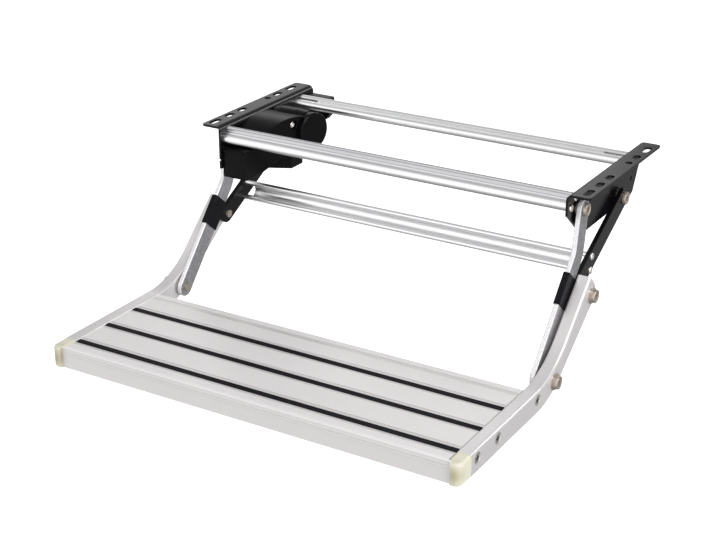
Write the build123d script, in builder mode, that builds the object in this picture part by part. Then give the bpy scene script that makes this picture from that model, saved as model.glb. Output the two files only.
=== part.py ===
from build123d import *
import math
import os

os.makedirs("parts", exist_ok=True)

# Caravan entry step: two brackets that bolt under the vehicle floor, a pair of front and a pair of
# rear links, and a tread between two bent side rails. X is across the step, Y runs under the
# vehicle and Z is up. The origin is midway between the two round datum holes, on the mounting face.
# A place written (y, z) lies in a side view, and all sizes are millimetres.

# Overall
outer_width = 550.0
tread_drop = 191.0
tread_setback = 265.0
running_fit = 0.06
side_gap = 0.25

# Side rails
rail_width = 17.5
rail_height = 28.2
rail_wall = 2.5
rail_corner = 3.0
rail_front = 162.0
heel_angle_low = 36.0
heel_angle_high = 43.0
heel_radius_low = 110.0
heel_radius_high = 118.0
arm_below = 13.0
arm_above = 20.6
arm_past_pivot = 14.0
arm_square_cut = 21.0

# Pivots: the front and rear ones on the brackets, the other two on the rails
front_pivot = (-108.6, -26.4)
rear_pivot = (17.0, -52.2)
tread_pivot_back = 45.7
tread_pivot_down = 6.4
arm_pivot_back = 143.0
arm_pivot_up = 64.5
pivot_size = 10.0
pivot_head = 16.0
pivot_head_height = 4.0
pivot_head_edge = 0.8
washer_size = 20.0
washer_thickness = 1.5
spacer_size = 18.0
pin_end = 3.0
shaft_size = 12.0

# Brackets
sheet = 3.0
bend_outer = 8.0
link_bay = 11.0
flange_width = 29.5
flange_front = -140.0
flange_rear = 84.5
flange_corner = 4.0
web_front_drop = 27.5
left_web_front_drop = 57.0
web_notch = 2.6
web_notch_drop = 45.5
web_front_chamfer = 40.0
web_drop = 64.0
web_bottom_front = -95.0
web_bottom_rear = 60.0
web_corner = 7.0
web_corner_rise = 3.5
spare_hole = (57.8, -40.5)
spare_hole_size = 6.0

# Mounting holes in each flange, in a row, measured back from the round datum hole
hole_inset = 20.5
slot_width = 9.0
short_slot = 17.0
long_slot = 22.0
short_slots = (-90.0, -61.0, 24.0)
long_slots = (-122.0, 58.0)

# Links
link_thickness = 6.0
link_width = 25.0
link_offset = 2.5
link_edge = 0.8
link_bend_back = 102.0
link_bend_up = 116.6
link_bend_radius = 30.0

# Bumper sleeves on the front links
sleeve_wall = 1.2
sleeve_start = 87.0
sleeve_length = 40.0
bumper_gap = 0.3

# Crossbars: two two-lobed extrusions, and a C-shaped one between the rear links
front_bar = (-129.2, -18.6)
front_bar_angle = 49.0
front_bar_pitch = 12.7
front_bar_lobes = (6.0, 5.4)
front_bar_screws = ((-131.4, -19.4), (-119.0, -10.0))
rear_bar = (40.7, -14.7)
rear_bar_angle = 12.0
rear_bar_pitch = 15.0
rear_bar_lobes = (5.5, 5.5)
rear_bar_screws = ((40.7, -14.7), (55.4, -11.6))
neck_height = 9.4
bar_wall = 1.6
screw_core = 4.2
end_notch = 27.0
notch_width = 4.6
channel_lobe = 4.7
channel_reach = 110.4
channel_aside = 1.2
channel_pitch = 17.2
channel_angle = 81.6
channel_back = 10.0
channel_wall = 2.2
bar_screw_head = 9.0
bar_screw_head_height = 2.0
bar_screw_length = 22.0
bar_screw_edge = 1.2
thread_gap = 0.05

# Tread board, measured from its rear top edge
board_depth = 183.0
board_height = 28.0
deck_down = 1.0
deck_wall = 2.6
nose_radius = 5.0
board_edge = 1.3
nose_ribs = (-5.6, -9.6)
nose_rib_radius = 1.2
lip_length = 12.0
tongue_length = 5.0
tongue_gap = 0.1
strip_places = (-158.7, -105.0, -52.3)
strip_width = 7.6
strip_depth = 2.0
strip_foot = 10.4
strip_foot_height = 1.6
strip_seat = 2.0
shoulder_width = 5.6
shoulder_depth = 0.9
rear_groove_front = -18.0
rear_groove_width = 8.0
rib_pitch = 2.0
rib_groove = 0.9
rib_depth = 0.4
boss_radius = 5.0
boss_down = 10.5
boss_core = 5.0
board_screws = (-147.8, -99.4, 1.5)
stiffener_places = (-124.0, -72.0, -30.0)
stiffener_wall = 2.0
stiffener_height = 15.0

# Rail screws
rail_screw_head = 14.0
rail_screw_cone = 3.6
rail_screw_bite = 20.0
cross_slot = 7.0
cross_slot_width = 1.6
cross_slot_depth = 1.8

# End caps
cap_length = 26.0
cap_outer_radius = 9.0
cap_inner_radius = 6.5
cap_rim_radius = 4.0
plug_length = 9.0
plug_gap = 0.1

# Motor drive on the inner side of the left bracket
case_front = -136.0
case_rear = 2.0
case_front_top = -30.0
case_front_bottom = -69.5
case_top_place = -52.7
case_top = -2.5
case_top_radius = 106.0
case_under_middle = (-100.0, -63.5)
case_under_end = (-68.0, -50.0)
case_reach = 35.5
case_slant = 12.0
case_edge = 1.2
case_front_edge = 2.5
case_bead = 1.5
motor_axis = (-17.0, -28.3)
collar_radius = 27.0
collar_start = 8.0
collar_reach = 40.0
collar_end = 55.0
collar_end_radius = 25.5
collar_recess = 2.4
collar_recess_depth = 3.0
motor_radius = 24.4
motor_cap_radius = 25.5
motor_start = 6.0
motor_reach = 63.0
motor_cap_thickness = 4.0
motor_cap_edge = 1.2
shaft_depth = 34.0
lid_screw_place = (-48.5, -13.4)
lid_screw_size = 9.5
lid_screw_height = 2.2
lid_well = 12.5
lid_well_depth = 3.4
socket_right = 38.5
socket_left = 8.0
socket_front = -32.5
socket_front_left = -48.0
socket_rear = -5.0
socket_bottom = -82.0
socket_mouth = 14.0
socket_mouth_place = (-220.0, -20.5)
socket_mouth_depth = 8.0
box_front = 67.0
box_depth = 12.0
box_width = 38.5
box_top = -9.0
box_height = 32.0
box_cut = 9.5
box_cut_height = 8.0
box_corner = 2.5
drive_gap = 0.2

# Values that follow from the sizes above
half_width = outer_width / 2
rail_inner = half_width - rail_width
web_outer = rail_inner - link_bay
web_inner = web_outer - sheet
flange_edge = web_inner + flange_width
hole_row = web_inner + hole_inset
link_inner = web_outer + link_offset
link_outer = link_inner + link_thickness
tread_pivot = (tread_pivot_back - tread_setback, -tread_drop - tread_pivot_down)
arm_pivot = (arm_pivot_back - tread_setback, -tread_drop + arm_pivot_up)
link_bend = (tread_pivot[0] + link_bend_back, tread_pivot[1] + link_bend_up)


def along(start, angle, distance):
    """The side-view place at a distance from start, at an angle above the horizontal."""
    turn = math.radians(angle)
    return (start[0] + distance * math.cos(turn), start[1] + distance * math.sin(turn))


def at_angle(start, end):
    """The angle above the horizontal of the line from start to end."""
    return math.degrees(math.atan2(end[1] - start[1], end[0] - start[0]))


def at_height(start, angle, height):
    """Where a line through start, at an angle above the horizontal, reaches a height."""
    return (start[0] + (height - start[1]) / math.tan(math.radians(angle)), height)


def tread_plane(x):
    """A side-view plane whose origin is the tread's rear top edge."""
    return Plane(origin=(x, -tread_setback, -tread_drop), x_dir=(0, 1, 0), z_dir=(1, 0, 0))


def rod(place, start, end, radius, mode=Mode.ADD):
    """A round bar across the step from x = start to x = end, in the part being built."""
    with Locations(((start + end) / 2, *place)):
        Cylinder(radius, abs(end - start), rotation=(0, 90, 0), mode=mode)


def turned(profile):
    """A turned piece: a profile of (x, radius) points spun about the X axis."""
    with BuildPart() as piece:
        with BuildSketch():
            with BuildLine():
                Polyline((profile[0][0], 0), *profile, (profile[-1][0], 0), close=True)
            make_face()
        revolve(axis=Axis.X)
    return piece.part


def both_sides(shape):
    """A right-hand shape and its mirror image, added to the part being built."""
    add(shape)
    add(mirror(shape, about=Plane.YZ, mode=Mode.PRIVATE))


def save(piece, label):
    """Labels a finished piece and writes it to its own file."""
    piece.part.label = label
    export_step(piece.part, f"parts/{label}.step")


def save_pair(piece, label):
    """Writes a right-hand piece and its mirror image for the left."""
    save(piece, f"right_{label}")
    with BuildPart() as twin:
        add(mirror(piece.part, about=Plane.YZ, mode=Mode.PRIVATE))
    save(twin, f"left_{label}")


# Brackets: one bent sheet each, its flange outwards under the floor and its web downwards
def bent_bracket(front_drop):
    """A right-hand bracket whose web reaches front_drop below the floor at its front edge."""
    front_edge = Plane(origin=(0, flange_front, 0), x_dir=(1, 0, 0), z_dir=(0, -1, 0))
    chamfer_top = at_height((web_bottom_front, -web_drop), -web_front_chamfer, -front_drop)
    below = -web_drop - sheet
    with BuildPart() as bracket:
        with BuildSketch(front_edge) as bent_section:
            with BuildLine():
                Polyline(
                    (web_inner, -web_drop),
                    (web_inner, 0),
                    (flange_edge, 0),
                    (flange_edge, -sheet),
                    (web_outer, -sheet),
                    (web_outer, -web_drop),
                    close=True,
                )
            make_face()
            outside_bend = bent_section.vertices().sort_by_distance((web_inner, 0))[0]
            inside_bend = bent_section.vertices().sort_by_distance((web_outer, -sheet))[0]
            fillet(outside_bend, bend_outer)
            fillet(inside_bend, bend_outer - sheet)
        extrude(amount=flange_front - flange_rear)
        with BuildSketch(Plane.YZ.offset(web_inner)):
            with BuildLine():
                Polyline(
                    chamfer_top,
                    (web_bottom_front, -web_drop),
                    (web_bottom_front, below),
                    (flange_front - sheet, below),
                    (flange_front - sheet, -front_drop),
                    close=True,
                )
            make_face()
            with BuildLine():
                Polyline(
                    (flange_rear, -web_front_drop),
                    (web_bottom_rear + web_corner, web_corner_rise - web_drop),
                    (web_bottom_rear, -web_drop),
                    (web_bottom_rear, below),
                    (flange_rear + sheet, below),
                    (flange_rear + sheet, -web_front_drop),
                    close=True,
                )
            make_face()
        extrude(amount=sheet, mode=Mode.SUBTRACT)
        fillet(bracket.edges().filter_by(Axis.Z).group_by(Axis.X)[-1], flange_corner)
        with BuildSketch(Plane.XY):
            with Locations((hole_row, 0)):
                Circle(slot_width / 2)
            with Locations(*[(hole_row, y) for y in short_slots]):
                SlotOverall(short_slot, slot_width, rotation=90)
            with Locations(*[(hole_row, y) for y in long_slots]):
                SlotOverall(long_slot, slot_width, rotation=90)
        extrude(amount=-sheet, mode=Mode.SUBTRACT)
        for place in (front_pivot, rear_pivot):
            rod(place, web_inner, web_outer, pivot_size / 2, Mode.SUBTRACT)
        rod(spare_hole, web_inner, web_outer, spare_hole_size / 2, Mode.SUBTRACT)
        for place in front_bar_screws + rear_bar_screws:
            rod(place, web_inner, web_outer, screw_core / 2, Mode.SUBTRACT)
    return bracket.part


with BuildPart() as right_bracket:
    add(bent_bracket(web_front_drop))
save(right_bracket, "right_bracket")

with BuildPart() as left_bracket:
    add(mirror(bent_bracket(left_web_front_drop), about=Plane.YZ, mode=Mode.PRIVATE))
    rod(front_pivot, -web_outer, -web_inner, shaft_size / 2 + side_gap, Mode.SUBTRACT)
    with Locations((-web_outer, flange_front, -web_notch_drop)):
        Box(3 * sheet, 2 * web_notch, web_notch, mode=Mode.SUBTRACT)
save(left_bracket, "left_bracket")


# Upper crossbars: a hollow neck between two lobes that take the end screws
def two_lobed_bar(start, angle, pitch, lobes, screws, notched):
    """An extrusion across the step whose first lobe is at start and whose second is at an angle."""
    middle = along(start, angle, pitch / 2)
    tilt = math.radians(angle)
    section = Plane(
        origin=(-web_inner, *middle), x_dir=(0, math.cos(tilt), math.sin(tilt)), z_dir=(1, 0, 0)
    )
    upwards = Plane(
        origin=(0, *middle), x_dir=(1, 0, 0), z_dir=(0, -math.sin(tilt), math.cos(tilt))
    )
    with BuildPart() as bar:
        with BuildSketch(section):
            for spot, radius in zip((-pitch / 2, pitch / 2), lobes):
                with Locations((spot, 0)):
                    Circle(radius)
            Rectangle(pitch, neck_height)
            cavity = pitch - 2 * screw_core - 2 * bar_wall
            if cavity > bar_wall:
                Rectangle(cavity, neck_height - 2 * bar_wall, mode=Mode.SUBTRACT)
        extrude(amount=2 * web_inner)
        for screw in screws:
            rod(screw, -web_inner, web_inner, screw_core / 2, Mode.SUBTRACT)
        if notched:
            with BuildSketch(upwards):
                with GridLocations(2 * web_inner - end_notch, 1, 2, 1):
                    Rectangle(end_notch, notch_width)
            extrude(amount=neck_height, mode=Mode.SUBTRACT)
    return bar


front_crossbar = two_lobed_bar(
    front_bar, front_bar_angle, front_bar_pitch, front_bar_lobes, front_bar_screws, False
)
save(front_crossbar, "front_crossbar")
rear_crossbar = two_lobed_bar(
    rear_bar, rear_bar_angle, rear_bar_pitch, rear_bar_lobes, rear_bar_screws, True
)
save(rear_crossbar, "rear_crossbar")


def bar_screw(face):
    """A pan-headed screw whose head bears on the face at x = face and whose shank runs inwards."""
    head = bar_screw_head / 2
    shank = screw_core / 2 - thread_gap
    top = face + bar_screw_head_height
    return turned(
        [
            (face - bar_screw_length, shank),
            (face, shank),
            (face, head),
            (top - bar_screw_edge, head),
            (top, head - bar_screw_edge),
        ]
    )


upper_bar_screw = bar_screw(web_outer)
with BuildPart() as crossbar_screws:
    for place in front_bar_screws + rear_bar_screws:
        both_sides(upper_bar_screw.moved(Location((0, *place))))
save(crossbar_screws, "crossbar_screws")


# Front links: galvanised flat bar with a bend above its middle, rounded at both ends
with BuildPart() as front_link:
    with BuildSketch(Plane.YZ.offset(link_inner)):
        with BuildLine():
            FilletPolyline(front_pivot, link_bend, tread_pivot, radius=link_bend_radius)
        trace(line_width=link_width)
        with Locations(front_pivot, tread_pivot):
            Circle(link_width / 2)
    extrude(amount=link_thickness)
    chamfer(front_link.faces().filter_by(Axis.X).edges(), link_edge)
    rod(tread_pivot, link_inner, link_outer, pivot_size / 2 + running_fit, Mode.SUBTRACT)
with BuildPart() as right_front_link:
    add(front_link.part)
    rod(front_pivot, link_inner, link_outer, pivot_size / 2 + running_fit, Mode.SUBTRACT)
save(right_front_link, "right_front_link")
with BuildPart() as left_front_link:
    add(mirror(front_link.part, about=Plane.YZ, mode=Mode.PRIVATE))
    rod(front_pivot, -link_outer, -link_inner, shaft_size / 2, Mode.SUBTRACT)
save(left_front_link, "left_front_link")

# Bumper sleeves: moulded round the lower leg, thicker where the rear link's end rests
leg = Vector(0, link_bend[0] - tread_pivot[0], link_bend[1] - tread_pivot[1]).normalized()
to_arm = Vector(0, arm_pivot[0] - tread_pivot[0], arm_pivot[1] - tread_pivot[1])
arm_to_leg = abs(leg.Y * to_arm.Z - leg.Z * to_arm.Y)
stop_wall = arm_to_leg - link_width - bumper_gap
sleeve_base = Vector((link_inner + link_outer) / 2, *tread_pivot) + leg * sleeve_start
with BuildPart() as sleeve:
    with BuildSketch(Plane(origin=sleeve_base, x_dir=(1, 0, 0), z_dir=leg)) as band:
        with Locations((0, (stop_wall - sleeve_wall) / 2)):
            Rectangle(link_thickness + 2 * sleeve_wall, link_width + sleeve_wall + stop_wall)
        fillet(band.vertices(), sleeve_wall)
        Rectangle(link_thickness, link_width, mode=Mode.SUBTRACT)
    extrude(amount=sleeve_length)
save_pair(sleeve, "bumper_sleeve")

# Rear links: straight flat bar with rounded ends, bored for the lower crossbar's screws
link_angle = at_angle(rear_pivot, arm_pivot)
channel_middle = along(along(rear_pivot, link_angle, channel_reach), link_angle + 90, channel_aside)
channel_top = along(channel_middle, channel_angle, channel_pitch / 2)
channel_bottom = along(channel_middle, channel_angle, -channel_pitch / 2)
with BuildPart() as rear_link:
    with BuildSketch(Plane.YZ.offset(link_inner)):
        with BuildLine():
            Line(rear_pivot, arm_pivot)
        trace(line_width=link_width)
        with Locations(rear_pivot, arm_pivot):
            Circle(link_width / 2)
    extrude(amount=link_thickness)
    chamfer(rear_link.faces().filter_by(Axis.X).edges(), link_edge)
    rod(rear_pivot, link_inner, link_outer, pivot_size / 2 + running_fit, Mode.SUBTRACT)
    rod(arm_pivot, link_inner, link_outer, pivot_size / 2, Mode.SUBTRACT)
    for place in (channel_top, channel_bottom):
        rod(place, link_inner, link_outer, screw_core / 2, Mode.SUBTRACT)
save_pair(rear_link, "rear_link")

# Lower crossbar: a C-shaped extrusion, open to the front, with a screw lobe at each lip
with BuildPart() as lower_crossbar:
    with BuildSketch(Plane.YZ.offset(-link_inner)):
        with BuildLine():
            ThreePointArc(channel_top, along(channel_middle, 0, channel_back), channel_bottom)
        trace(line_width=channel_wall)
        with Locations(channel_top, channel_bottom):
            Circle(channel_lobe)
            Circle(screw_core / 2, mode=Mode.SUBTRACT)
    extrude(amount=2 * link_inner)
save(lower_crossbar, "lower_crossbar")

lower_bar_screw = bar_screw(link_outer)
with BuildPart() as lower_crossbar_screws:
    for place in (channel_top, channel_bottom):
        both_sides(lower_bar_screw.moved(Location((0, *place))))
save(lower_crossbar_screws, "lower_crossbar_screws")


# Side rails: flat-sided tube, bent upwards behind the tread and cut off round the upper pivot
def rail_sketch(inset, run_out):
    """The rail's side outline, drawn in by inset and run past both ends by run_out."""
    low = -rail_height + inset
    high = -inset
    pivot = (arm_pivot_back, arm_pivot_up)
    low_line = along(pivot, heel_angle_low - 90, arm_below - inset)
    high_line = along(pivot, heel_angle_high + 90, arm_above - inset)
    tip = along(high_line, heel_angle_high, arm_past_pivot + run_out)
    shoulder = along(tip, heel_angle_high - 90, arm_square_cut)
    low_end = along(low_line, heel_angle_low, run_out)
    front = -rail_front - run_out
    with BuildSketch() as outline:
        with BuildLine():
            FilletPolyline(
                (front, low), at_height(low_line, heel_angle_low, low), low_end,
                radius=heel_radius_low + inset,
            )
            Polyline(low_end, shoulder, tip)
            FilletPolyline(
                tip, at_height(high_line, heel_angle_high, high), (front, high),
                radius=heel_radius_high - inset,
            )
            Line((front, high), (front, low))
        make_face()
    return outline.sketch


rail_outside = rail_sketch(0, 0)
rail_cavity = rail_sketch(rail_wall, rail_wall)
with BuildPart() as side_rail:
    with BuildSketch(tread_plane(rail_inner)):
        add(rail_outside)
    extrude(amount=rail_width)
    long_edges = side_rail.faces().filter_by(Axis.X).edges().filter_by(
        lambda edge: edge.length > 1.5 * rail_height
    )
    fillet(long_edges, rail_corner)
    with BuildSketch(tread_plane(rail_inner + rail_wall)):
        add(rail_cavity)
    extrude(amount=rail_width - 2 * rail_wall, mode=Mode.SUBTRACT)
    for place in (tread_pivot, arm_pivot):
        rod(place, rail_inner, half_width, pivot_size / 2, Mode.SUBTRACT)
    for y in board_screws:
        place = (y - tread_setback, -boss_down - tread_drop)
        rod(place, rail_inner, half_width, boss_core / 2, Mode.SUBTRACT)
        with Locations((half_width - rail_screw_cone / 2, *place)):
            Cone(
                boss_core / 2, rail_screw_head / 2, rail_screw_cone,
                rotation=(0, 90, 0), mode=Mode.SUBTRACT,
            )
save_pair(side_rail, "side_rail")

# Tread board: one ribbed aluminium extrusion between the rails, with slots for three grip strips
deck_top = -deck_down
deck_middle = deck_top - deck_wall / 2
groove_floor = deck_top - strip_depth
foot_floor = groove_floor - strip_foot_height
shoulder = deck_top - shoulder_depth
nose = -board_depth
strip_reach = strip_width / 2 + shoulder_width
ribbed_fields = [
    (nose + nose_radius, strip_places[0] - strip_reach),
    (strip_places[0] + strip_reach, strip_places[1] - strip_reach),
    (strip_places[1] + strip_reach, strip_places[2] - strip_reach),
    (strip_places[2] + strip_reach, rear_groove_front),
    (rear_groove_front + rear_groove_width, -rib_groove),
]


def block(low_y, high_y, low_z, high_z, mode=Mode.ADD):
    """A rectangle between two places of the section being drawn."""
    with Locations(((low_y + high_y) / 2, (low_z + high_z) / 2)):
        Rectangle(high_y - low_y, high_z - low_z, mode=mode)


with BuildPart() as tread_board:
    with BuildSketch(tread_plane(-rail_inner)) as board_section:
        block(nose, 0, deck_top - deck_wall, deck_top)
        block(nose, nose + deck_wall, -board_height, deck_top)
        fillet(board_section.vertices().sort_by_distance((nose, deck_top))[0], nose_radius)
        block(nose, nose + lip_length, -board_height, deck_wall - board_height)
        block(-deck_wall, 0, -boss_down, deck_top)
        fillet(board_section.vertices().sort_by_distance((0, deck_top))[0], board_edge)
        for z in nose_ribs:
            with Locations((nose + nose_rib_radius / 2, z)):
                Circle(nose_rib_radius)
        for y in board_screws:
            block(y - stiffener_wall, min(y + stiffener_wall, 0), -boss_down, deck_middle)
            with Locations((y, -boss_down)):
                Circle(boss_radius)
        for y in stiffener_places:
            stiffener = (y - stiffener_wall / 2, y + stiffener_wall / 2)
            block(*stiffener, deck_top - stiffener_height, deck_middle)
        seat = strip_foot / 2 + strip_seat
        for y in strip_places:
            block(y - seat, y + seat, foot_floor - strip_seat, deck_middle)
        for y in strip_places:
            block(y - strip_reach, y + strip_reach, shoulder, deck_top, Mode.SUBTRACT)
            block(y - strip_width / 2, y + strip_width / 2, groove_floor, deck_top, Mode.SUBTRACT)
            block(y - strip_foot / 2, y + strip_foot / 2, foot_floor, groove_floor, Mode.SUBTRACT)
        rear_groove = (rear_groove_front, rear_groove_front + rear_groove_width)
        block(*rear_groove, shoulder, deck_top, Mode.SUBTRACT)
        for low, high in ribbed_fields:
            count = int((high - low) / rib_pitch)
            pitch = (high - low) / count
            spots = [(low + (n + 0.5) * pitch, deck_top - rib_depth / 2) for n in range(count)]
            with Locations(*spots):
                Rectangle(rib_groove, rib_depth, mode=Mode.SUBTRACT)
        for y in board_screws:
            with Locations((y, -boss_down)):
                Circle(boss_core / 2, mode=Mode.SUBTRACT)
    extrude(amount=2 * rail_inner)
    with BuildSketch(tread_plane(-rail_inner - tongue_length)) as tongue_section:
        block(nose, nose + deck_wall, -board_height, deck_top)
        fillet(tongue_section.vertices().sort_by_distance((nose, deck_top))[0], board_edge)
    extrude(amount=2 * (rail_inner + tongue_length))
save(tread_board, "tread_board")

# Grip strips: black rubber, each held in the deck by its wider foot
strip_names = ("front_grip_strip", "middle_grip_strip", "rear_grip_strip")
for strip_name, y in zip(strip_names, strip_places):
    with BuildPart() as grip_strip:
        with BuildSketch(tread_plane(-rail_inner)):
            block(y - strip_width / 2, y + strip_width / 2, groove_floor, deck_top)
            block(y - strip_foot / 2, y + strip_foot / 2, foot_floor, groove_floor)
        extrude(amount=2 * rail_inner)
    save(grip_strip, strip_name)

# Rail screws: countersunk, through each rail into the board's bosses
rail_screw = turned(
    [
        (rail_inner - rail_screw_bite, boss_core / 2 - thread_gap),
        (half_width - rail_screw_cone, boss_core / 2 - thread_gap),
        (half_width, rail_screw_head / 2 - thread_gap),
    ]
)
with BuildPart() as cross_screw:
    add(rail_screw)
    with Locations((half_width - cross_slot_depth / 2, 0, 0)):
        Box(cross_slot_depth, cross_slot, cross_slot_width, mode=Mode.SUBTRACT)
        Box(cross_slot_depth, cross_slot_width, cross_slot, mode=Mode.SUBTRACT)
with BuildPart() as rail_screws:
    for y in board_screws:
        both_sides(cross_screw.part.moved(Location((0, y - tread_setback, -boss_down - tread_drop))))
save(rail_screws, "rail_screws")

# End caps: moulded corners that close the rails' front ends and lap behind the board's front wall,
# each with a plug inside the tube
with BuildPart() as end_cap:
    with Locations((
        half_width - rail_width / 2,
        -tread_setback - rail_front - cap_length / 2,
        -tread_drop - rail_height / 2,
    )):
        Box(rail_width, cap_length, rail_height)
    fillet(end_cap.edges().filter_by(Axis.Z).group_by(Axis.Y)[0].sort_by(Axis.X)[0], cap_inner_radius)
    fillet(end_cap.edges().filter_by(Axis.Z).group_by(Axis.Y)[0].sort_by(Axis.X)[-1], cap_outer_radius)
    rims = end_cap.faces().filter_by(Axis.Z).edges()
    fillet(rims.sort_by(lambda edge: edge.center().Y)[:-2], cap_rim_radius)
    with Locations((
        half_width - rail_width / 2,
        -tread_setback - rail_front + plug_length / 2,
        -tread_drop - rail_height / 2,
    )):
        Box(
            rail_width - 2 * rail_wall - 2 * plug_gap,
            plug_length,
            rail_height - 2 * rail_wall - 2 * plug_gap,
        )
    with BuildSketch(tread_plane(rail_inner)):
        block(-rail_front - cap_length, nose + deck_wall + tongue_gap, -rail_height, 0)
    extrude(amount=tongue_length + tongue_gap, mode=Mode.SUBTRACT)
save_pair(end_cap, "end_cap")


# Pivot bolts: shanks across the link planes, with round heads outside
def headed_pin(inner, outer, head_start):
    """A pin from x = inner whose head runs from head_start to outer, with its rim broken."""
    shank = pivot_size / 2
    head = pivot_head / 2
    return turned(
        [
            (inner, shank),
            (head_start, shank),
            (head_start, head),
            (outer - pivot_head_edge, head),
            (outer, head - pivot_head_edge),
        ]
    )


link_bolt_head = link_outer + side_gap
link_bolt = headed_pin(web_inner - pin_end, link_bolt_head + pivot_head_height, link_bolt_head)
with BuildPart() as front_pivot_bolt:
    add(link_bolt.moved(Location((0, *front_pivot))))
save(front_pivot_bolt, "front_pivot_bolt")
with BuildPart() as rear_pivot_bolts:
    both_sides(link_bolt.moved(Location((0, *rear_pivot))))
save(rear_pivot_bolts, "rear_pivot_bolts")

# Output shaft: turns the left front link from inside the gear case
shaft_head_end = link_outer + pivot_head_height
headed_shaft = turned(
    [
        (web_inner - shaft_depth, shaft_size / 2),
        (link_outer, shaft_size / 2),
        (link_outer, pivot_head / 2),
        (shaft_head_end - pivot_head_edge, pivot_head / 2),
        (shaft_head_end, pivot_head / 2 - pivot_head_edge),
    ]
)
with BuildPart() as output_shaft:
    add(mirror(headed_shaft.moved(Location((0, *front_pivot))), about=Plane.YZ, mode=Mode.PRIVATE))
save(output_shaft, "output_shaft")

outer_bolt_head = half_width + 2 * washer_thickness
tread_bolt = headed_pin(link_inner - pin_end, outer_bolt_head + pivot_head_height, outer_bolt_head)
arm_bolt = headed_pin(rail_inner, outer_bolt_head + pivot_head_height, outer_bolt_head)
arm_pin = turned([(link_inner - pin_end, pivot_size / 2), (link_outer, pivot_size / 2)])
with BuildPart() as tread_pivot_bolts:
    both_sides(tread_bolt.moved(Location((0, *tread_pivot))))
save(tread_pivot_bolts, "tread_pivot_bolts")
with BuildPart() as arm_pivot_bolts:
    both_sides(arm_bolt.moved(Location((0, *arm_pivot))))
save(arm_pivot_bolts, "arm_pivot_bolts")
with BuildPart() as arm_pins:
    both_sides(arm_pin.moved(Location((0, *arm_pivot))))
save(arm_pins, "arm_pins")


# Washers and spacers between the layers at each pivot
def ring(start, thickness, outside, hole):
    """A flat ring whose inner face is at x = start."""
    with BuildPart() as washer:
        rod((0, 0), start, start + thickness, outside / 2)
        rod((0, 0), start, start + thickness, hole / 2, Mode.SUBTRACT)
    return washer.part


web_spacer = ring(web_outer, link_offset - side_gap, spacer_size, pivot_size)
tread_spacer = ring(link_outer + side_gap, rail_inner - link_outer - side_gap, spacer_size, pivot_size)
arm_spacer = ring(link_outer, rail_inner - link_outer - side_gap, spacer_size, pivot_size)
inner_washer = ring(half_width, washer_thickness, washer_size, pivot_size)
outer_washer = ring(half_width + washer_thickness, washer_thickness, spacer_size, pivot_size)
with BuildPart() as web_spacers:
    both_sides(web_spacer.moved(Location((0, *rear_pivot))))
    add(web_spacer.moved(Location((0, *front_pivot))))
save(web_spacers, "web_spacers")
with BuildPart() as tread_pivot_spacers:
    both_sides(tread_spacer.moved(Location((0, *tread_pivot))))
save(tread_pivot_spacers, "tread_pivot_spacers")
with BuildPart() as arm_spacers:
    both_sides(arm_spacer.moved(Location((0, *arm_pivot))))
save(arm_spacers, "arm_spacers")
with BuildPart() as rail_washers:
    for place in (tread_pivot, arm_pivot):
        both_sides(inner_washer.moved(Location((0, *place))))
        both_sides(outer_washer.moved(Location((0, *place))))
save(rail_washers, "rail_washers")

# Motor drive: a gear case on the left web whose face slants, with a collar round the motor
face_slant = math.radians(case_slant)
face_normal = (math.cos(face_slant), -math.sin(face_slant), 0)
face_plane = Plane(
    origin=(case_reach - web_inner, case_front, 0), x_dir=(0, 0, 1), z_dir=face_normal
)
case_depth = case_reach + (case_rear - case_front) * math.tan(face_slant)
screw_face = case_reach - web_inner + (lid_screw_place[0] - case_front) * math.tan(face_slant)
well_floor = screw_face - lid_well_depth
recess_face = case_reach - web_inner + (motor_axis[0] - case_front) * math.tan(face_slant)


def on_case_top(y):
    """The side-view place on the arc of the case's top at a distance y."""
    rise = math.sqrt(case_top_radius**2 - (y - case_top_place) ** 2)
    return (y, case_top - case_top_radius + rise)


front_rise = case_front_top - case_top + case_top_radius
top_start = case_top_place - math.sqrt(case_top_radius**2 - front_rise**2)
motor_collar = turned(
    [
        (collar_start - web_inner, collar_end_radius),
        (collar_start + collar_start - web_inner, collar_radius),
        (collar_reach - web_inner, collar_radius),
        (collar_end - web_inner, collar_end_radius),
    ]
)
with BuildPart() as gear_case:
    with BuildSketch(Plane.YZ.offset(-web_inner)):
        with BuildLine():
            Line((case_front, case_front_bottom), (case_front, case_front_top))
            Line((case_front, case_front_top), (top_start, case_front_top))
            ThreePointArc(
                (top_start, case_front_top), (case_top_place, case_top), on_case_top(case_rear)
            )
            Line(on_case_top(case_rear), (case_rear, case_under_end[1]))
            Line((case_rear, case_under_end[1]), case_under_end)
            ThreePointArc(case_under_end, case_under_middle, (case_front, case_front_bottom))
        make_face()
    extrude(amount=case_depth)
    split(bisect_by=face_plane, keep=Keep.BOTTOM)
    fillet(gear_case.edges().filter_by(Axis.X).group_by(Axis.Y)[0], case_front_edge)
    fillet(gear_case.faces().sort_by(Axis.X)[-1].edges(), case_edge)
    add(motor_collar.moved(Location((0, *motor_axis))))
    bead_place = (case_front, case_front_top - 2 * case_bead)
    rod(bead_place, -web_inner, case_reach - web_inner - case_front_edge, case_bead)
    rod(motor_axis, -web_inner, case_depth - web_inner, motor_radius + drive_gap, Mode.SUBTRACT)
    with BuildSketch(Plane(origin=(recess_face, *motor_axis), x_dir=(0, 0, 1), z_dir=face_normal)):
        Circle(motor_radius + collar_recess)
    extrude(amount=-collar_recess_depth, both=True, mode=Mode.SUBTRACT)
    shaft_bore = shaft_size / 2 + running_fit
    rod(front_pivot, -web_inner, shaft_depth + side_gap - web_inner, shaft_bore, Mode.SUBTRACT)
    rod(lid_screw_place, well_floor, screw_face + lid_well_depth, lid_well / 2, Mode.SUBTRACT)
save(gear_case, "gear_case")

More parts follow.
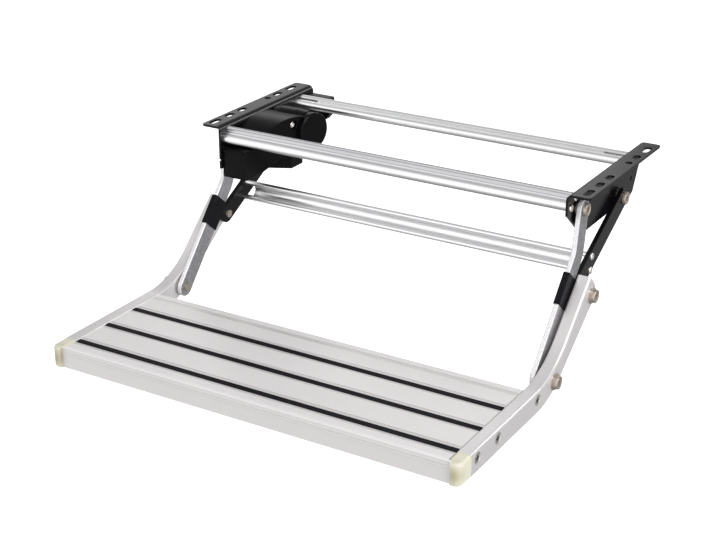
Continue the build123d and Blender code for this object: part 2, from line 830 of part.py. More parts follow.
with BuildPart() as gear_lid_screw:
    rod(lid_screw_place, well_floor, well_floor + lid_screw_height, lid_screw_size / 2)
save(gear_lid_screw, "gear_lid_screw")

# Motor: a can whose end is cut parallel to the case's face, closed by a moulded cap
cap_plane = Plane(origin=(motor_reach - web_inner, *motor_axis), x_dir=(0, 0, 1), z_dir=face_normal)
with BuildPart() as motor_can:
    rod(motor_axis, motor_start - web_inner, motor_reach - web_inner + motor_radius, motor_radius)
    split(bisect_by=cap_plane, keep=Keep.BOTTOM)
save(motor_can, "motor_can")
with BuildPart() as motor_cap:
    with BuildSketch(cap_plane):
        Circle(motor_cap_radius)
    extrude(amount=motor_cap_thickness)
    chamfer(motor_cap.faces().sort_by(Axis.X)[-1].edges(), motor_cap_edge)
save(motor_cap, "motor_cap")

# Cable socket: hangs under the gear case and the motor, open below
with BuildPart() as cable_socket:
    with BuildSketch(Plane.XY.offset(socket_bottom)):
        with BuildLine():
            Polyline(
                (socket_right - web_inner, socket_front),
                (socket_right - web_inner, socket_rear),
                (socket_left - web_inner, socket_rear),
                (socket_left - web_inner, socket_front_left),
                close=True,
            )
        make_face()
    extrude(amount=motor_axis[1] - socket_bottom)
    add(gear_case.part, mode=Mode.SUBTRACT)
    rod(motor_axis, -web_inner, socket_right - web_inner, motor_radius + drive_gap, Mode.SUBTRACT)
    with BuildSketch(Plane.XY.offset(socket_bottom)):
        with Locations(socket_mouth_place):
            Rectangle(socket_mouth, socket_mouth)
    extrude(amount=socket_mouth_depth, mode=Mode.SUBTRACT)
save(cable_socket, "cable_socket")

# Switch box on the left web, behind the rear crossbar, with one lower corner cut off
box_bottom = box_top - box_height
box_right = box_width - web_inner
with BuildPart() as switch_box:
    with BuildSketch(Plane.XZ.offset(-box_front)) as box_outline:
        block(-web_inner, box_right, box_bottom, box_top)
        cut_corner = box_outline.vertices().sort_by_distance((box_right, box_bottom))[0]
        chamfer(cut_corner, length=box_cut_height, length2=box_cut)
    extrude(amount=-box_depth)
    upper_edges = switch_box.edges().filter_by(Axis.Y).group_by(Axis.Z)[-1]
    fillet(upper_edges.sort_by(Axis.X)[-1], box_corner)
save(switch_box, "switch_box")
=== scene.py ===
import math

import bpy
import numpy as np
from mathutils import Matrix, Vector


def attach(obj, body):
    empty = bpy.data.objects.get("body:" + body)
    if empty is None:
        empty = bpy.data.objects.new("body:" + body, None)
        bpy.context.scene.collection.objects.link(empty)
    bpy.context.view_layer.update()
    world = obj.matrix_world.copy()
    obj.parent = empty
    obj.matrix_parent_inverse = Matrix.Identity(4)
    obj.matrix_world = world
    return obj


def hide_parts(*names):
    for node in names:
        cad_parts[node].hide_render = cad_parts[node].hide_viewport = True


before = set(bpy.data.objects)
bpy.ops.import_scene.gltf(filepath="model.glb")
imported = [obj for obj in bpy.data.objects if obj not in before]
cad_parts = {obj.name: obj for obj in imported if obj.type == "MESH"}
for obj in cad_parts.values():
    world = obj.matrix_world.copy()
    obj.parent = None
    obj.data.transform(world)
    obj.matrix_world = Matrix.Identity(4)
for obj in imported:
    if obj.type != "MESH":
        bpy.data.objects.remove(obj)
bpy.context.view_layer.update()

# Mounting brackets and rear links: punched and folded steel plate under a satin black powder coat.
# The baked coat is thick and slightly rippled, so it has soft grey highlights.


class Flow:
    """A socket whose value flows on. Arithmetic on it adds Math nodes to the socket's own tree."""

    def __init__(self, socket):
        self.socket = socket

    def node(self, kind, settings=None, inputs=None, output=0):
        """Adds any node: its settings first, then the values or links of its sockets. A ramp's
        stops are pairs of a position and a grey."""
        tree = self.socket.id_data
        made = tree.nodes.new(kind)
        for name, value in (settings or {}).items():
            if name == "stops":
                stops = made.color_ramp.elements
                while len(stops) < len(value):
                    stops.new(0.5)
                for stop, (position, grey) in zip(stops, value):
                    stop.position = position
                    stop.color = (grey, grey, grey, 1)
            else:
                setattr(made, name, value)
        for name, value in (inputs or {}).items():
            if isinstance(value, Flow):
                tree.links.new(value.socket, made.inputs[name])
            else:
                made.inputs[name].default_value = value
        return Flow(made.outputs[output])

    def maths(self, operation, first, second):
        """Adds a Math node for two values, of which at least one flows."""
        return self.node("ShaderNodeMath", {"operation": operation}, {0: first, 1: second})

    def __add__(self, other):
        return self.maths("ADD", self, other)

    def __radd__(self, other):
        return self.maths("ADD", other, self)

    def __sub__(self, other):
        return self.maths("SUBTRACT", self, other)

    def __rsub__(self, other):
        return self.maths("SUBTRACT", other, self)

    def __mul__(self, other):
        return self.maths("MULTIPLY", self, other)

    def __rmul__(self, other):
        return self.maths("MULTIPLY", other, self)


class Finish:
    """A material whose constants sit on its shader's sockets, with the piece's own coordinates."""

    def __init__(self, name, **constants):
        self.material = bpy.data.materials.new(name)
        self.material.use_nodes = True
        self.shader = self.material.node_tree.nodes["Principled BSDF"]
        for socket, value in constants.items():
            self.shader.inputs[socket.replace("_", " ")].default_value = value
        coordinates = self.material.node_tree.nodes.new("ShaderNodeTexCoord")
        self.place = Flow(coordinates.outputs["Object"])

    def grain(self, scale, detail, stretch=(1, 1, 1)):
        """Noise with about scale blotches to the metre. A stretch below 1 draws them out along
        its axis."""
        placed = self.place.node(
            "ShaderNodeMapping", inputs={"Vector": self.place, "Scale": stretch}
        )
        return placed.node(
            "ShaderNodeTexNoise", inputs={"Vector": placed, "Scale": scale, "Detail": detail}
        )

    def feed(self, socket, flow):
        """Links a varying value into one of the shader's sockets."""
        self.material.node_tree.links.new(flow.socket, self.shader.inputs[socket])

    def tint(self, amount, low, high):
        """A base colour that runs from low to high with an amount between 0 and 1."""
        mixed = self.place.node(
            "ShaderNodeMix",
            {"data_type": "RGBA"},
            {0: amount, 6: (*low, 1), 7: (*high, 1)},
            output=2,
        )
        self.feed("Base Color", mixed)

    def bumps(self, height, depth, strength):
        """Raises the surface by height, from 0 to 1, times a depth in metres."""
        bump = self.place.node(
            "ShaderNodeBump", inputs={"Height": height, "Distance": depth, "Strength": strength}
        )
        self.feed("Normal", bump)

    def coat(self, *nodes):
        """Gives this finish to CAD nodes."""
        for node in nodes:
            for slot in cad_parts[node].material_slots:
                slot.material = self.material


powder = Finish("black_powder_coat", Metallic=0.0, Specular_IOR_Level=0.16)
powder_cloud = powder.grain(scale=22, detail=3)
powder_peel = powder.grain(scale=900, detail=2)
powder.tint(powder_cloud, low=(0.0022, 0.0016, 0.0023), high=(0.0042, 0.0034, 0.0044))
powder.feed("Roughness", 0.20 + powder_cloud * 0.08)
powder.bumps(powder_peel, depth=0.00006, strength=0.12)
powder.coat("left_bracket", "right_bracket", "left_rear_link", "right_rear_link")

# Crossbars: three aluminium extrusions, two screwed between the brackets and one between the rear
# links. The front bar's upper lobe is fluted, and painted darker as painted shade for its flutes,
# and the rear bar's neck is ribbed, and slotted at its ends. The lower bar is a channel, open to
# the front, with a wall short of the arms.
front_bar = {
    "start": (-0.1288, -0.0181),
    "tilt": 49,
    "pitch": 0.0121,
    "lobes": (0.0066, 0.0054),
    "neck": 0.0028,
    "flutes": 11,
    "flute_depth": 0.0006,
}
rear_bar = {
    "start": (0.0407, -0.0147),
    "tilt": 12,
    "pitch": 0.0150,
    "lobes": (0.0055, 0.0055),
    "neck": 0.0043,
    "ribs": 3,
    "rib_depth": 0.00015,
}
web_gap = 0.2435
end_slot_length = 0.031
end_slot_width = 0.004

arm_gap = 0.2490
wall_stop = 0.0110
channel_middle = (-0.0798, -0.1053)
channel_tilt = 81.6
channel_sag = 0.0072
channel_wall = 0.0022
channel_lip = 0.0005
bead_reach = 0.0100
bead_radius = 0.0033

# Painted shade: the fluted lobe's colour is darkened between these distances from the lower lobe's
# middle, standing in for the shade in its flutes. The other bars lie behind the fade and get no
# painted shade.
painted_shade_start = 0.0068
painted_shade_end = 0.0082
fade_back = -0.09
fade_front = -0.11


def one_part(vector, axis):
    """The part of a vector along an axis: 0 to the right, 1 to the back or 2 upwards."""
    return vector.node("ShaderNodeSeparateXYZ", inputs={0: vector}, output=axis)


def rise(value, start, end):
    """A value's way from start to end: 0 before the start, 1 past the end, straight between."""
    return value.node("ShaderNodeMapRange", {"clamp": True}, {0: value, 1: start, 2: end})


bright = Finish("bright_aluminium", Metallic=1.0)
die_lines = bright.grain(scale=160, detail=1, stretch=(0.004, 1, 1))
haze = bright.grain(scale=9, detail=2, stretch=(0.4, 1, 1))
bar_back = one_part(bright.place, 1)
bar_up = one_part(bright.place, 2)
neck_turn = math.radians(front_bar["tilt"])
along_neck = (
    (bar_back - front_bar["start"][0]) * math.cos(neck_turn)
    + (bar_up - front_bar["start"][1]) * math.sin(neck_turn)
)
painted_shade_lobe = rise(along_neck, painted_shade_start, painted_shade_end) * rise(bar_back, fade_back, fade_front)
# The base colour's amount: die lines and haze, less the painted shade on the fluted lobe.
polish_and_painted_shade = 0.6 + die_lines * 0.2 + haze * 0.2 - painted_shade_lobe * 0.7
bright.tint(polish_and_painted_shade, low=(0.55, 0.55, 0.57), high=(0.94, 0.94, 0.945))
bright.feed("Roughness", 0.26 + haze * 0.05)


def smooth_piece(name, points, faces, finish, body, node):
    """A new piece in place of a CAD node, smooth but for edges sharper than 35 degrees."""
    mesh = bpy.data.meshes.new(name)
    mesh.from_pydata(points, [], faces)
    mesh.shade_smooth()
    mesh.set_sharp_from_angle(angle=math.radians(35))
    mesh.materials.append(finish.material)
    piece = bpy.data.objects.new(name, mesh)
    bpy.context.collection.objects.link(piece)
    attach(piece, body)
    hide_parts(node)


def drawn_bar(name, runs, body, node):
    """Extrusions across the step. A surface point is (x, outline[n]), where x is one of a run's two
    ends and outline is a closed loop of (y, z) points, counter-clockwise seen from the right."""
    points, faces = [], []
    for outline, left_end, right_end in runs:
        count = len(outline)
        near = len(points) + np.arange(count)
        after = np.roll(near, -1)
        reach = np.repeat((left_end, right_end), count)
        points += np.column_stack((reach, np.tile(outline, (2, 1)))).tolist()
        faces += np.stack((near, after, after + count, near + count), axis=1).tolist()
        faces += [near[::-1].tolist(), (near + count).tolist()]
    smooth_piece(name, points, faces, bright, body, node)


def arc(middle, radius, turn):
    """Points (y + radius * cos(turn), z + radius * sin(turn)) round a middle (y, z)."""
    return np.column_stack((middle[0] + radius * np.cos(turn), middle[1] + radius * np.sin(turn)))


def tilted(points, start, tilt):
    """Points (a, b) of a section that is tilted by some degrees, with its (0, 0) at start:
    start + a * (cos(tilt), sin(tilt)) + b * (-sin(tilt), cos(tilt))."""
    turn = math.radians(tilt)
    along, beside = np.transpose(points)
    return np.column_stack((
        start[0] + along * math.cos(turn) - beside * math.sin(turn),
        start[1] + along * math.sin(turn) + beside * math.cos(turn),
    ))


def two_lobed_outline(
    start, tilt, pitch, lobes, neck, ribs=1, rib_depth=0.0, flutes=0, flute_depth=0.0, half=None
):
    """A neck with round lobes at its ends. Each lobe is the arc of its circle outside the neck. The
    neck's top is sunk by rib_depth times a rounded wave with that many ribs, and the second lobe's
    radius by flute_depth times one with that many flutes. With half given, the outline is only the
    part in front of the end slot, or only the one at its back."""
    first, second = lobes
    first_sink, second_sink = np.arcsin(neck / first), np.arcsin(neck / second)
    low, high = first * np.cos(first_sink), pitch - second * np.cos(second_sink)
    if half == "front":
        high = (low + high - end_slot_width) / 2
    if half == "back":
        low = (low + high + end_slot_width) / 2
    along = np.linspace(high, low, 12 * ribs + 1)
    wave = 0.5 + 0.5 * np.cos(2 * np.pi * ribs * (along - low) / (high - low))
    top = np.column_stack((along, neck - rib_depth * wave))
    first_arc = np.linspace(first_sink, 2 * np.pi - first_sink, 49)
    second_arc = np.linspace(second_sink - np.pi, np.pi - second_sink, 145)
    fluted = second - flute_depth * (0.5 - 0.5 * np.cos(flutes * second_arc))
    front = arc((0, 0), first, first_arc)
    back = arc((pitch, 0), fluted, second_arc)
    if half == "front":
        loop = np.concatenate((top, front, [(high, -neck)]))
    elif half == "back":
        loop = np.concatenate((top, [(low, -neck)], back))
    else:
        loop = np.concatenate((top, front, back))
    # A point that repeats the one before it, where two curves meet, is left out.
    apart = np.linalg.norm(np.diff(loop, axis=0), axis=1) > 1e-7
    return tilted(loop[np.r_[True, apart]], start, tilt)


front_run = (two_lobed_outline(**front_bar), -web_gap, web_gap)
drawn_bar("front_bar", [front_run], "frame", "front_crossbar")

slot_end = web_gap - end_slot_length
rear_runs = [(two_lobed_outline(**rear_bar), -slot_end, slot_end)]
for half in ("front", "back"):
    outline = two_lobed_outline(**rear_bar, half=half)
    rear_runs += [(outline, -web_gap, -slot_end), (outline, slot_end, web_gap)]
drawn_bar("rear_bar", rear_runs, "frame", "rear_crossbar")


def channel_outline(middle, tilt, height, lip, sag, wall):
    """A channel between two rounded lips. Its front is sunk by sag times 1 - s * s, where s runs
    from -1 to 1 up the channel, and its back follows the same curve, one wall further back."""
    s = np.linspace(1, -1, 41)
    front = np.column_stack((height / 2 * s, -sag * (1 - s * s)))
    back = np.column_stack((height / 2 * s[::-1], -wall - sag * (1 - s * s)))
    turn = np.linspace(0, np.pi, 9)[1:-1]
    bottom_lip = np.column_stack((-height / 2 - lip * np.sin(turn), wall / 2 * (np.cos(turn) - 1)))
    loop = np.concatenate((front, bottom_lip, back, bottom_lip[::-1] * (-1, 1)))
    return tilted(loop, middle, tilt)


channel = channel_outline(
    channel_middle, channel_tilt, 2 * bead_reach, channel_lip, channel_sag, channel_wall
)
lower_runs = [(channel, wall_stop - arm_gap, arm_gap - wall_stop)]
for bead_middle in tilted([(bead_reach, 0), (-bead_reach, 0)], channel_middle, channel_tilt):
    bead = arc(bead_middle, bead_radius, np.linspace(0, 2 * np.pi, 33)[:-1])
    lower_runs.append((bead, -arm_gap, arm_gap))
drawn_bar("lower_bar", lower_runs, "rear_links", "lower_crossbar")

# Front links: galvanised flat bar, sheared to length. The faces carry a dull grey spangle, and the
# sheared edges are bright and pitted. A face looks to the right or the left and an edge doesn't, so
# the normal tells them apart.
zinc = Finish("galvanised_steel", Metallic=0.85)
spangle = zinc.place.node(
    "ShaderNodeTexVoronoi", inputs={"Vector": zinc.place, "Scale": 620.0}, output="Color"
)
spangle_shade = spangle.node("ShaderNodeSeparateColor", inputs={0: spangle})
link_normal = zinc.place.node("ShaderNodeNewGeometry", output="Normal")
to_right = one_part(link_normal, 0)
to_either_side = to_right.node("ShaderNodeMath", {"operation": "ABSOLUTE"}, {0: to_right})
flat_face = rise(to_either_side, start=0.6, end=0.95)
pits = zinc.grain(scale=800, detail=3)
zinc_shade = flat_face * (spangle_shade * 0.3 + 0.1) + (1 - flat_face) * (0.35 + pits * 0.9)
zinc.tint(zinc_shade, low=(0.17, 0.16, 0.17), high=(0.85, 0.85, 0.86))
zinc.feed("Roughness", 0.42 + spangle_shade * 0.16)
zinc.bumps(pits, depth=0.0004, strength=0.6)
zinc.coat("left_front_link", "right_front_link")

# Bumper sleeves and grip strips: soft black rubber. The sleeves are pulled over the front links and
# the strips into the tread board's grooves, and both have a faint bloom.
rubber = Finish("black_rubber", Metallic=0.0, Specular_IOR_Level=0.06)
bloom = rubber.grain(scale=60, detail=3)
rubber.tint(bloom, low=(0.003, 0.003, 0.004), high=(0.008, 0.008, 0.010))
rubber.feed("Roughness", 0.40 + bloom * 0.2)
rubber.bumps(rubber.grain(scale=1500, detail=2), depth=0.00005, strength=0.12)
rubber.coat("left_bumper_sleeve", "right_bumper_sleeve")
rubber.coat("front_grip_strip", "middle_grip_strip", "rear_grip_strip")

# Tread board and side rails: matt anodised aluminium. The board's die lines run across the step,
# and the rails' run along their length. Below the deck's top, the board's grooves, nose and front
# face are painted darker as painted shade, and the deck is rougher than its front face.
deck_top = -0.1920
anodised = Finish("anodised_board", Metallic=0.3)
board_lines = anodised.grain(scale=500, detail=3, stretch=(0.005, 1, 1))
board_cloud = anodised.grain(scale=7, detail=2)
# Painted shade: the board's colour is darker below the deck's top, on grooves, nose and face.
deck_above_painted_shade = rise(one_part(anodised.place, 2), deck_top - 0.0008, deck_top - 0.0001)
board_grain_and_painted_shade = deck_above_painted_shade * 0.75 + board_cloud * 0.2 + board_lines * 0.05
anodised.tint(board_grain_and_painted_shade, low=(0.47, 0.455, 0.455), high=(0.72, 0.705, 0.705))
anodised.feed("Roughness", 0.27 + deck_above_painted_shade * 0.12 + board_lines * 0.02)
anodised.bumps(board_lines, depth=0.00001, strength=0.02)
anodised.coat("tread_board")

rail_finish = Finish("anodised_rail", Metallic=0.5)
rail_satin = rail_finish.grain(scale=900, detail=3, stretch=(1, 0.05, 0.05))
rail_cloud = rail_finish.grain(scale=8, detail=2)
rail_finish.tint(rail_cloud, low=(0.55, 0.535, 0.535), high=(0.62, 0.605, 0.605))
rail_finish.feed("Roughness", 0.24 + rail_satin * 0.12)
rail_finish.bumps(rail_satin, depth=0.00003, strength=0.25)
rail_finish.coat("left_side_rail", "right_side_rail")

# End caps: ivory polymer corners pushed into the rails' front ends. The wall is thin enough to
# glow, so the darker plug shows through in the middle of each face. The distance from the plug's
# middle is counted in plug_reach, which is the reach of its shade along each axis.
plug_middle = np.array((0.26667, 0.44675, 0.20563))
plug_reach = np.array((0.00877, 0.01299, 0.01408))
ivory = Finish("ivory_polymer", Metallic=0.0, Subsurface_Weight=0.15, Subsurface_Scale=0.004)
ivory_cloud = ivory.grain(scale=40, detail=2)
either_cap = ivory.place.node("ShaderNodeVectorMath", {"operation": "ABSOLUTE"}, {0: ivory.place})
from_plug = either_cap.node(
    "ShaderNodeMapping",
    inputs={
        "Vector": either_cap,
        "Location": tuple(-plug_middle / plug_reach),
        "Scale": tuple(1 / plug_reach),
    },
)
plug_distance = from_plug.node(
    "ShaderNodeVectorMath", {"operation": "LENGTH"}, {0: from_plug}, output="Value"
)
wall_glow = rise(plug_distance, start=0.45, end=1.2)
cap_shade = wall_glow * 0.9 + ivory_cloud * 0.1
ivory.tint(cap_shade, low=(0.27, 0.25, 0.155), high=(0.53, 0.515, 0.42))
ivory.feed("Roughness", 0.30 + ivory_cloud * 0.08)
ivory.bumps(ivory.grain(scale=900, detail=2), depth=0.00005, strength=0.3)
ivory.coat("left_end_cap", "right_end_cap")

# Pivot bolts, output shaft, pins, spacers and washers: turned stainless steel with a warm dull
# sheen. The bolts' and the shaft's heads are dished, with a star recess. The sizes of this section
# and the next two are millimetres, and those across the step are measured from its middle.
web_outer = 246.5
link_outer = 255.0
rail_outer = 275.0
running_gap = 0.25
washer_pair = 3.0
pivot_head = 8.0
pivot_head_height = 4.0
star_share = 0.16

stainless = Finish("turned_stainless", Metallic=0.8)
turning = stainless.grain(scale=1400, detail=3, stretch=(0.1, 1, 1))
stain = stainless.grain(scale=120, detail=3)
stainless.tint(stain, low=(0.30, 0.26, 0.225), high=(0.49, 0.43, 0.38))
stainless.feed("Roughness", 0.24 + turning * 0.2)
stainless.bumps(turning, depth=0.0001, strength=0.4)
stainless.coat("arm_pins", "arm_spacers", "tread_pivot_spacers", "web_spacers", "rail_washers")


def turned_pieces(profile, places, sides, finish, body, node, points_of_star=6):
    """Turned pieces that lie across the step, one at each place on each side, which is 1 for the
    right and -1 for the left. A surface point is (x, y + q * cos(t), z + q * sin(t)), where t goes
    once round the place (y, z) and q is r * (1 + star * cos(t * points_of_star)). A row of the
    profile is (x, r, star), from the middle of the inner end to the middle of the head, and star
    is the share of r by which a recess swings in and out."""
    count = 48
    ring = np.arange(count)
    after = np.roll(ring, -1)
    turn = ring * 2 * np.pi / count
    reach, radius, star = np.array(profile).T
    radius = radius[1:-1, None] * (1 + star[1:-1, None] * np.cos(points_of_star * turn))
    rows = len(radius)
    row_starts = count * np.arange(rows - 1)[:, None]
    near, beside = (row_starts + ring).ravel(), (row_starts + after).ravel()
    walls = np.stack((near, beside, beside + count, near + count), axis=1)
    last = count * (rows - 1)
    inner_fan = np.stack((after, ring, np.full(count, rows * count)), axis=1)
    outer_fan = np.stack((last + ring, last + after, np.full(count, rows * count + 1)), axis=1)
    across = np.repeat(reach[1:-1], count)
    points, faces = [], []
    for y, z in places:
        back = (y + radius * np.cos(turn)).ravel()
        up = (z + radius * np.sin(turn)).ravel()
        middles = [(reach[0], y, z), (reach[-1], y, z)]
        piece = np.concatenate((np.column_stack((across, back, up)), middles))
        for side in sides:
            # Mirrored faces go round the other way, so that they still point outwards.
            for corners in (walls, inner_fan, outer_fan):
                faces += (corners + len(points))[:, ::side].tolist()
            points += (piece * (side, 1, 1) / 1000).tolist()
    smooth_piece("turned_" + node, points, faces, finish, body, node)


def pivot_bolt(inner, shank, face):
    """The profile of a flat-headed pivot bolt from its inner end, whose head bears on x = face."""
    top = face + pivot_head_height
    body = [(inner, 0, 0), (inner, shank, 0), (face, shank, 0)]
    rim = [(face, pivot_head, 0), (top - 0.8, pivot_head, 0), (top - 0.2, 7.7, 0), (top, 7.1, 0)]
    dish = [(top, 5.9, 0), (top - 0.5, 5.4, 0), (top - 0.5, 3.6, 0)]
    recess = [(top - 0.6, 3.2, star_share), (top - 2.4, 3.0, star_share), (top - 2.4, 0, 0)]
    return body + rim + dish + recess


def seated(profile, face):
    """A profile moved outwards to the face that its reaches are measured from."""
    return [(face + reach, radius, star) for reach, radius, star in profile]


both_sides = (1, -1)
front_pivot = (-108.6, -26.4)
rear_pivot = (17.0, -52.2)
tread_pivot = (-219.3, -197.4)
arm_pivot = (-122.0, -126.5)

link_bolt = pivot_bolt(inner=240.5, shank=5, face=link_outer + running_gap)
turned_pieces(link_bolt, [front_pivot], (1,), stainless, "frame", "front_pivot_bolt")
turned_pieces(link_bolt, [rear_pivot], both_sides, stainless, "frame", "rear_pivot_bolts")
shaft = pivot_bolt(inner=209.5, shank=6, face=link_outer)
turned_pieces(shaft, [front_pivot], (-1,), stainless, "front_links", "output_shaft")
tread_bolt = pivot_bolt(inner=246, shank=5, face=rail_outer + washer_pair)
turned_pieces(tread_bolt, [tread_pivot], both_sides, stainless, "tread", "tread_pivot_bolts")
arm_bolt = pivot_bolt(inner=257.5, shank=5, face=rail_outer + washer_pair)
turned_pieces(arm_bolt, [arm_pivot], both_sides, stainless, "tread", "arm_pivot_bolts")

# Pan-headed screws: bright plated steel with star recesses. They are driven through the webs and
# the rear links into the crossbars, and one holds the gear case's lid from the bottom of its well.
plated = Finish("bright_plating", Metallic=1.0)
plating = plated.grain(scale=700, detail=3)
plated.tint(plating, low=(0.62, 0.59, 0.57), high=(0.86, 0.83, 0.81))
plated.feed("Roughness", 0.20 + plating * 0.14)

pan_screw = [
    (-22, 0, 0), (-22, 2.05, 0), (0, 2.05, 0), (0, 4.5, 0), (0.7, 4.5, 0), (1.3, 4.25, 0),
    (1.7, 3.75, 0), (1.95, 3.0, 0), (2.0, 2.5, 0), (1.9, 2.2, star_share),
    (0.7, 2.05, star_share), (0.7, 0, 0),
]
web_screw = seated(pan_screw, web_outer)
web_screw_places = ((-131.4, -19.4), (-119.0, -10.0), (40.7, -14.7), (55.4, -11.6))
turned_pieces(web_screw, web_screw_places, both_sides, plated, "frame", "crossbar_screws")
link_screw = seated(pan_screw, link_outer)
link_screw_places = ((-78.54, -96.79), (-81.05, -113.81))
turned_pieces(
    link_screw, link_screw_places, both_sides, plated, "rear_links", "lower_crossbar_screws"
)

lid_well_floor = -192.8
lid_screw = [
    (0, 0, 0), (0, 4.75, 0), (1.0, 4.75, 0), (1.6, 4.5, 0), (2.0, 3.9, 0), (2.2, 3.0, 0),
    (2.1, 2.5, star_share), (0.8, 2.35, star_share), (0.8, 0, 0),
]
lid_place = (-48.5, -13.4)
turned_pieces(
    seated(lid_screw, lid_well_floor), [lid_place], (1,), plated, "frame", "gear_lid_screw"
)

# Rail screws: countersunk, plated steel, through each side rail into the board's bosses. Little
# light gets into their cross recesses, so the metal is painted dark just below the rail's face, as
# painted shade.
cross_share = 0.6
cross_points = 4
rail_screw = [
    (-37.5, 0, 0), (-37.5, 2.45, 0), (-3.6, 2.45, 0), (0, 6.95, 0), (-0.1, 6.3, 0),
    (-0.5, 5.9, 0), (-0.2, 5.2, 0), (-0.3, 2.8, cross_share), (-5.5, 2.3, cross_share),
    (-6.0, 0, 0),
]
countersunk = Finish("countersunk_heads", Metallic=1.0)
head_grain = countersunk.grain(scale=700, detail=3)
either_rail = countersunk.place.node(
    "ShaderNodeVectorMath", {"operation": "ABSOLUTE"}, {0: countersunk.place}
)
# Painted shade: the heads turn dark below the rail's face, in their recesses.
out_of_painted_recess_shade = rise(
    one_part(either_rail, 0), (rail_outer - 1.5) / 1000, (rail_outer - 0.4) / 1000
)
head_grain_and_painted_shade = out_of_painted_recess_shade * (0.8 + head_grain * 0.2)
countersunk.tint(head_grain_and_painted_shade, low=(0.015, 0.013, 0.012), high=(0.80, 0.765, 0.745))
countersunk.feed("Roughness", 0.22 + head_grain * 0.14)
rail_screw_places = [(y, -201.5) for y in (-412.8, -364.4, -263.5)]
turned_pieces(
    seated(rail_screw, rail_outer), rail_screw_places, both_sides, countersunk, "tread",
    "rail_screws", cross_points,
)

# Motor drive: black polymer mouldings with a fine spark-eroded texture for the gear case, the
# motor's cap, the cable socket and the switch box, and a painted steel can round the motor.
polymer = Finish("black_polymer", Metallic=0.0, Specular_IOR_Level=0.09)
polymer_cloud = polymer.grain(scale=30, detail=3)
polymer.tint(polymer_cloud, low=(0.0012, 0.0011, 0.0014), high=(0.0026, 0.0025, 0.003))
polymer.feed("Roughness", 0.24 + polymer_cloud * 0.08)
polymer.bumps(polymer.grain(scale=1800, detail=2), depth=0.00003, strength=0.04)
polymer.coat("gear_case", "motor_cap", "cable_socket", "switch_box")
powder.coat("motor_can")

# Camera: at the photograph's angle, in front of the step, to its right and above it. The focal
# length is given in pixels of the photograph's width.
camera_place = Vector((0.8830, -1.6671, 0.6067))
camera_turn = math.radians(30.93)
camera_tilt = math.radians(23.33)
photo_width = 720
focal_pixels = 1523.28
right = Vector((math.cos(camera_turn), math.sin(camera_turn), 0))
back = Vector((
    math.sin(camera_turn) * math.cos(camera_tilt),
    -math.cos(camera_turn) * math.cos(camera_tilt),
    math.sin(camera_tilt),
))
up = back.cross(right)
facing = Matrix((right, up, back)).transposed().to_4x4()
camera_data = bpy.data.cameras.new("camera")
camera_data.sensor_width = 36
camera_data.lens = focal_pixels * camera_data.sensor_width / photo_width
camera = bpy.data.objects.new("camera", camera_data)
camera.matrix_world = Matrix.Translation(camera_place) @ facing
bpy.context.collection.objects.link(camera)
bpy.context.scene.camera = camera

# Floor: a pale matt sheet well below the hanging step, laid as a square grid. Bright metal doesn't
# mirror it, so the room gives the bars their shades.
floor_drop = 0.75
floor_reach = 9.0
floor_cells = 12
steps = np.linspace(-floor_reach, floor_reach, floor_cells + 1)
across, along = np.meshgrid(steps, steps)
floor_points = np.stack((across, along, np.full_like(across, -floor_drop)), axis=-1)
corner = (np.arange(floor_cells)[:, None] * len(steps) + np.arange(floor_cells)).ravel()
above = corner + len(steps)
floor_faces = np.stack((corner, corner + 1, above + 1, above), axis=1)
floor_mesh = bpy.data.meshes.new("floor")
floor_mesh.from_pydata(floor_points.reshape(-1, 3), [], floor_faces)
floor = bpy.data.objects.new("floor", floor_mesh)
bpy.context.collection.objects.link(floor)
pale = Finish("pale_floor", Emission_Strength=0.4)
pale_cloud = pale.grain(scale=0.6, detail=2)
pale.tint(pale_cloud, low=(0.90, 0.90, 0.90), high=(0.93, 0.93, 0.93))
pale.feed("Roughness", 0.85 + pale_cloud * 0.1)
floor_mesh.materials.append(pale.material)
floor.visible_glossy = False


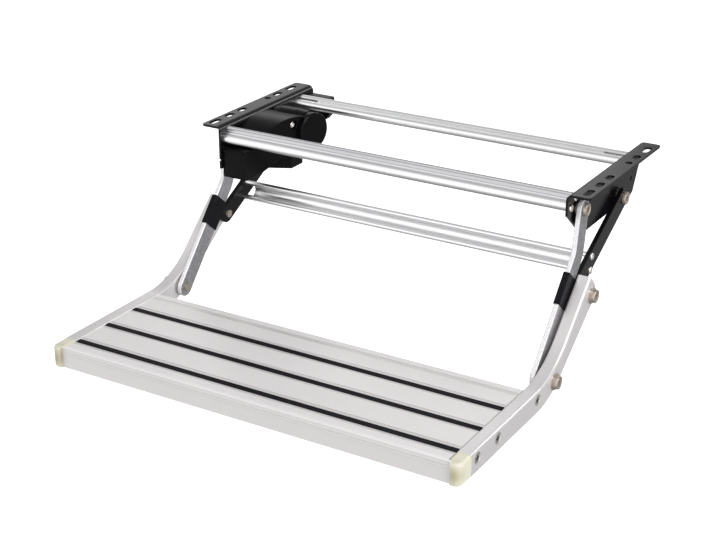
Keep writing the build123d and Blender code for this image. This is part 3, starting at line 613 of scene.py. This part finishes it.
# Lights: three soft boxes, a strong one high in front on the right, and two weak ones behind the
# step that draw lines of light along its upper edges.
def softbox(name, place, aim, size, power):
    """A rectangular area light that faces a point."""
    light = bpy.data.lights.new(name, "AREA")
    light.shape = "RECTANGLE"
    light.size, light.size_y = size
    light.energy = power
    lamp = bpy.data.objects.new(name, light)
    lamp.location = place
    lamp.rotation_euler = (Vector(aim) - Vector(place)).to_track_quat("-Z", "Y").to_euler()
    bpy.context.collection.objects.link(lamp)


tread_middle = (0, -0.2, -0.1)
bar_middle = (0, -0.1, -0.1)
softbox("key_light", (1.7, -0.9, 2.4), tread_middle, size=(1.6, 1.6), power=58)
softbox("rim_light", (1.15, 2.3, 1.25), bar_middle, size=(0.9, 0.5), power=14)
softbox("back_light", (-1.7, 2.8, 1.35), bar_middle, size=(1.8, 1.0), power=7)

# Room: a white wall in front of the step, brightest level with it, and a dim one behind, over dark
# ground, so that a round bar shows a white front between a grey top and underside. A stop's
# position is the direction that is looked in, from 0 straight down to 1 straight up.
front_stops = (
    (0.0, 0.25), (0.1, 0.44), (0.2, 0.75), (0.33, 1.15), (0.5, 1.4), (0.7, 1.35), (0.86, 1.15),
    (0.93, 0.7), (1.0, 0.45),
)
back_stops = (
    (0.0, 0.16), (0.2, 0.25), (0.34, 0.36), (0.5, 0.32), (0.6, 0.40), (0.7, 0.52), (0.8, 0.48),
    (1.0, 0.45),
)
world = bpy.data.worlds.new("studio")
world.use_nodes = True
background = world.node_tree.nodes["Background"]
heading = Flow(world.node_tree.nodes.new("ShaderNodeTexCoord").outputs["Generated"])
height = one_part(heading, 2) * 0.5 + 0.5
front_wall = height.node("ShaderNodeValToRGB", {"stops": front_stops}, {0: height})
back_wall = height.node("ShaderNodeValToRGB", {"stops": back_stops}, {0: height})
behind = rise(one_part(heading, 1), start=-0.3, end=0.3)
walls = heading.node(
    "ShaderNodeMix", {"data_type": "RGBA"}, {0: behind, 6: front_wall, 7: back_wall}, output=2
)
# The room is brighter on the right.
brighter_right = 1.15 + 0.4 * one_part(heading, 0)
world.node_tree.links.new(walls.socket, background.inputs["Color"])
world.node_tree.links.new(brighter_right.socket, background.inputs["Strength"])
bpy.context.scene.world = world
bpy.context.scene.view_settings.view_transform = "Standard"
